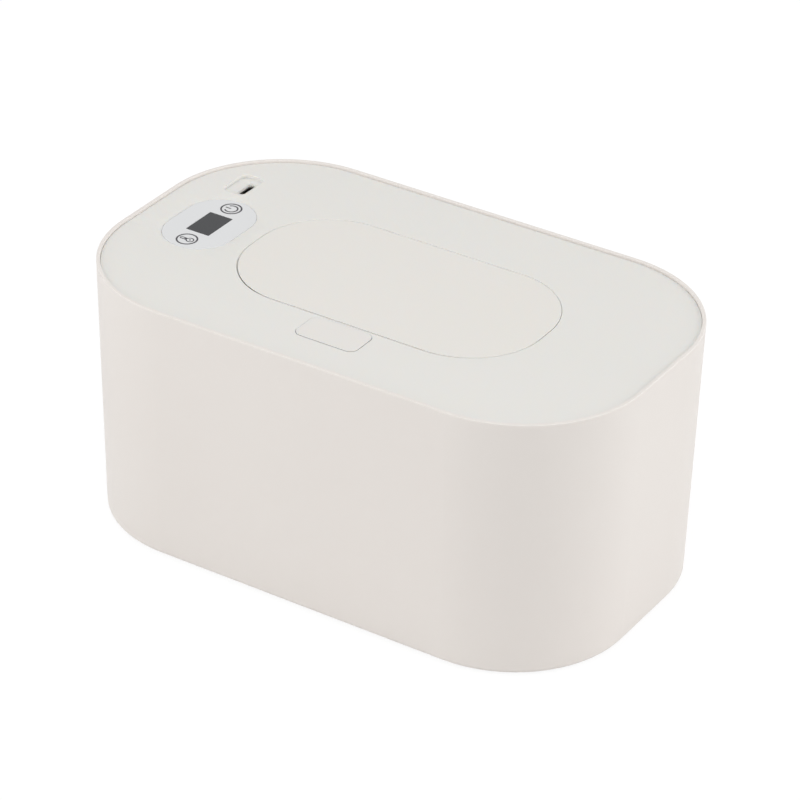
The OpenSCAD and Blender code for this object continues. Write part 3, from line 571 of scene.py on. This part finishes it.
# Touch springs: coils of thin spring wire on the board, which press on the panel from below and
# carry the touch to the controller.
def coil(x, y, z, radius, wire, turns, length, steps=28):
    """A spring about +Z whose first and last turns lie closed: the height grows by 1.1 wires in
    each closed turn and evenly over the turns between."""
    closed = 2 * wire * 1.1
    pitch = (length - 2 * wire - 2 * closed) / (turns - 2)
    t = np.linspace(0, turns, turns * steps + 1)
    rise = wire + closed * (np.minimum(t, 1) + np.maximum(0, t - turns + 1))
    rise = rise + pitch * np.clip(t - 1, 0, turns - 2)
    angle = 2 * np.pi * t
    return np.stack((x + radius * np.cos(angle), y + radius * np.sin(angle), z + rise), axis=-1)


def tube(path, radius, never, sides=14):
    """A round wire: each point of the path carries a circle square to it, whose first axis is the
    cross product of a direction that the wire never runs in and the path's own direction."""
    path = np.asarray(path, float)
    along = np.gradient(path, axis=0)
    along /= np.linalg.norm(along, axis=1, keepdims=True)
    first = np.cross(np.broadcast_to(never, path.shape), along)
    first /= np.linalg.norm(first, axis=1, keepdims=True)
    second = np.cross(along, first)
    angle = np.linspace(0, 2 * np.pi, sides, endpoint=False)[None, :, None]
    circle = np.cos(angle) * first[:, None] + np.sin(angle) * second[:, None]
    return path[:, None] + radius * circle


steel = metal("drawn_wire", (196, 197, 200), 0.3, 2.0, (1, 1, 0.3))
low, high = box_mm("touch_springs")
key_coil_r, key_wire, key_turns = 2.4, 0.25, 6
key_y = (high[1] - low[1]) / 2 - key_coil_r - key_wire
key_coils = (
    coil(panel_x, y, low[2], key_coil_r, key_wire, key_turns, high[2] - low[2])
    for y in (-key_y, key_y)
)
piece(
    "key_springs", "cover", steel,
    [tube(path, key_wire, (0, 0, 1), 10) for path in key_coils],
    wrap=(False, True), replaces=("touch_springs",),
)

# Control board: glass-epoxy laminate under green solder mask, held to the cover shell's bosses by
# four screws. The display, controller, choke, capacitor, plugs and socket stand on it.
mask_green = Finish("solder_mask", (38, 92, 58), 0.36, Specular_IOR_Level=0.5)
tracks = mask_green.node(
    "ShaderNodeTexBrick", {"offset": 0.37, "squash": 1.6}, Vector=mask_green.place(),
    Scale=0.35, Mortar_Size=0.06, Mortar_Smooth=0.2, out="Fac",
)
mask_green.tint(tracks * 0.8, (62, 128, 84))
mask_green.feed("Roughness", 0.4 - tracks * 0.1)
mask_green.relief(tracks, 0.03)
dress(mask_green, "control_board")
epoxy = moulded("black_epoxy", (38, 38, 40), (32, 32, 34), 0.55, 0.01, 0.0)
dress(epoxy, "board_parts", "display_module", "usb_tongue", "thermal_cutoff")
dress(moulded("plug_nylon", (226, 224, 214), (220, 218, 206), 0.45), "lead_plugs")

# Power socket: a drawn steel shell, satin nickel plated, round a black tongue. It stands on the
# board under the recess of the cover.
dress(metal("satin_nickel", (148, 145, 142), 0.36, 1.2, (1, 1, 0.2)), "usb_shell")

# Heater: a brushed aluminium plate, an etched film glued to its back, foam over it, and four
# screws into the base. A thermistor and a thermal cut-off lie in the foam's pockets.
dress(metal("brushed_aluminium", (206, 208, 211), 0.38, 3.0, (0.03, 1, 1), 0.004), "heater_plate")
film = Finish("amber_film", (176, 104, 34), 0.24, Specular_IOR_Level=0.5)
wave = film.node("ShaderNodeTexWave", {"bands_direction": "Y"}, Vector=film.place(), Scale=0.16)
stripes = wave.between(0.35, 0.5)
film.tint(stripes, (120, 60, 18))
film.relief(stripes, 0.04)
dress(film, "heater_film", "thermistor")
dress(soft("closed_cell_foam", (236, 236, 232), 0.85, 1.2, 0.12), "heater_foam")


# Heater leads: four silicone-covered wires, two from each plug. They run level over the board, bend
# down through a hole in the base and end on the film.
lead_cover = Finish("lead_silicone", (190, 52, 44), 0.42, Specular_IOR_Level=0.4)
lead_cover.tint(lead_cover.noise(0.8, 2), (176, 44, 38))
low, high = box_mm("heater_leads")
lead_r, lead_bend, lead_step = 0.55, 2.0, 1.8
first_y, last_y = low[1] + lead_r, high[1] - lead_r
lead_x, lead_z = high[0] - lead_r, high[2] - lead_r
leads = []
for y in (first_y, first_y + lead_step, last_y - lead_step, last_y):
    corners = [(low[0], y, lead_z), (lead_x, y, lead_z), (lead_x, y, low[2])]
    leads.append(tube(rounded(corners, (0, lead_bend, 0), 12), lead_r, (0, 1, 0)))
piece(
    "silicone_leads", "cover", lead_cover, leads,
    wrap=(False, True), replaces=("heater_leads",),
)

# Hinge: a ground steel pin in four lugs of the base, and a torsion spring over it whose one leg
# stands on the base and whose other leg lies behind the flap's arm.
dress(metal("ground_pin", (204, 205, 208), 0.22, 1.5, (0.05, 1, 1), 0.002), "hinge_pin")
low, high = box_mm("hinge_pin")
hinge_y, hinge_z = (low[1] + high[1]) / 2, (low[2] + high[2]) / 2
low, _ = box_mm("hinge_spring")
wire, coil_r, half_turns, half_turn_steps = 0.4, 1.9, 9, 16
spring_room, spring_gap, leg_out, leg_down, leg_bend = 5.6, 0.3, 2.6, 6, 0.8
start_x = low[0] + wire
pitch = (spring_room - 2 * wire - 2 * spring_gap) / half_turns
turn = np.linspace(0, half_turns, half_turns * half_turn_steps + 1)
around = np.pi * (1 - turn)
winding = np.stack((
    start_x + pitch * turn, hinge_y + coil_r * np.cos(around), hinge_z + coil_r * np.sin(around)
), axis=-1)
end_x, leg_y = winding[-1, 0], hinge_y + coil_r
leg = rounded(
    [winding[-1], (end_x, leg_y, hinge_z - coil_r), (end_x + leg_out, leg_y, hinge_z - leg_down)],
    (0, leg_bend, 0),
)
spring_path = np.concatenate(([(start_x, hinge_y - coil_r, low[2])], winding, leg[1:]))
piece(
    "torsion_spring", "cover", steel, [tube(spring_path, wire, (1, 0, 0))],
    wrap=(False, True), replaces=("hinge_spring",),
)

# Flap: an outer plate with a bevelled edge, heat-staked to an inner panel with two gooseneck arms,
# both of the cover's plastic. A silicone gasket under it closes on the collar of the opening. The
# plate is fitted a tenth of a millimetre nearer to the right and the back.
flap_plastic = moulded("flap_plastic", (231, 228, 223), (230, 227, 221), 0.58)
_, high = box_mm("flap_outer")
flap_corner, flap_r, flap_t, land, flap_round = 27.8, 27.84, 2.2, 0.35, 0.15
flap_top = high[2]
flap_under = flap_top - flap_t + 0.05
flap_edge = rounded(
    [
        (0, flap_under), (flap_r - flap_t + 0.2, flap_under), (flap_r, flap_top - land),
        (flap_r, flap_top), (0, flap_top),
    ],
    (0, 0.05, 0.05, flap_round, 0),
)[1:-1]
flap_half = high[:2] - flap_corner
piece(
    "flap_plate", "flap", flap_plastic,
    [carried(flap_edge, *flap_half, x=0.12, y=0.06, steps=72)],
    planes=(flap_under, flap_top), replaces=("flap_outer",),
)
copied(
    "flap_skirt", "flap_outer", "flap", flap_plastic, top=flap_under + 0.05
)
dress(moulded("flap_inner_plastic", (231, 229, 225), (229, 227, 222), 0.5), "flap_inner")

low, high = box_mm("flap_gasket")
gasket_half_y = 1
gasket_r = (high[1] - low[1]) / 2 - gasket_half_y
gasket_half_x = (high[0] - low[0]) / 2 - gasket_r
web, lip_in, gasket_w = high[2] - 0.55, 0.6, 3.2
gasket_profile = rounded(
    [
        (gasket_r, high[2]), (gasket_r, web), (gasket_r - lip_in, web),
        (gasket_r - lip_in, low[2]), (gasket_r - gasket_w + lip_in, low[2]),
        (gasket_r - gasket_w + lip_in, web), (gasket_r - gasket_w, web),
        (gasket_r - gasket_w, high[2]),
    ],
    (0.05, 0.2, 0.25, 0.75, 0.75, 0.25, 0.2, 0.05),
)
piece(
    "silicone_gasket", "flap",
    soft("gasket_silicone", (220, 219, 216), 0.45, 0.9, 0.01),
    [carried(gasket_profile, gasket_half_x, gasket_half_y, steps=28)],
    wrap=(True, True), replaces=("flap_gasket",),
)

# Release button and latch: the button runs in a guide of the cover, its cap a tenth of a millimetre
# proud and cut back under its edge. Slanted slots in its legs draw the acetal latch forward, clear
# of the flap's hook, and a coil spring lifts both.
button_plastic = moulded("button_plastic", (230, 227, 223), (229, 226, 221), 0.56)
low, high = box_mm("release_button")
button_corner, cap_r, cap_lip, neck_in = 3, 3.17, 0.16, 0.6
cap_top = cover_top + 0.1
cap_low = cap_top - 1.6
cap_profile = rounded(
    [
        (0, cap_low), (cap_r - neck_in, cap_low), (cap_r - neck_in, cap_top - cap_lip - neck_in),
        (cap_r, cap_top - cap_lip), (cap_r, cap_top), (0, cap_top),
    ],
    (0, 0, 0.1, 0.03, 0.1, 0),
)[1:-1]
cap_half = (high[:2] - low[:2]) / 2 - button_corner
piece(
    "button_cap", "button", button_plastic,
    [carried(cap_profile, *cap_half, y=(high[1] + low[1]) / 2)],
    planes=(cap_low, cap_top), replaces=("release_button",),
)
copied(
    "button_legs", "release_button", "button", button_plastic, top=cap_low + 0.1
)
dress(moulded("acetal", (232, 231, 226), (228, 227, 221), 0.4, 0.003), "latch_slider")

low, high = box_mm("button_spring")
spring_y, spring_length, travel = (low[1] + high[1]) / 2, high[2] - low[2], 1.8
coil_r, wire, turns = 2.6, 0.3, 6
spring = piece(
    "return_spring", "cover", steel,
    [tube(coil(0, spring_y, low[2], coil_r, wire, turns, spring_length), wire, (0, 0, 1))],
    wrap=(False, True), replaces=("button_spring",),
)
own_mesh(spring)

# Floor: a plain pale sheet that shows white to the camera and keeps a faint shadow of the object,
# under a white world that lights it weakly from all round.
half_m = 6
floor_mesh = bpy.data.meshes.new("floor")
floor_corners = [(x * half_m, y * half_m, 0) for x, y in ((-1, -1), (1, -1), (1, 1), (-1, 1))]
floor_mesh.from_pydata(floor_corners, [], [(0, 1, 2, 3)])
floor = bpy.data.objects.new("floor", floor_mesh)
bpy.context.collection.objects.link(floor)
white = (1, 1, 1, 1)
paper = Finish("floor_paper", (235, 235, 235), 0.9)
matt = Value(paper, paper.shader.outputs[0])
glow = paper.node("ShaderNodeEmission", {}, white, 1.06)
share = paper.rays("Camera", "Glossy", "Transmission") * 0.85
seen = paper.node("ShaderNodeMixShader", {}, share, matt, glow)
paper.put(paper.tree.nodes["Material Output"].inputs["Surface"], seen)
floor_mesh.materials.append(paper.material)

world = bpy.data.worlds.new("studio")
world.use_nodes = True
bpy.context.scene.world = world
room = Nodes(world.node_tree)
ambient, bright = (room.node("ShaderNodeBackground", {}, white, level) for level in (0.515, 1.0))
share = room.rays("Camera", "Glossy", "Transmission")
seen = room.node("ShaderNodeMixShader", {}, share, ambient, bright)
room.put(world.node_tree.nodes["World Output"].inputs["Surface"], seen)
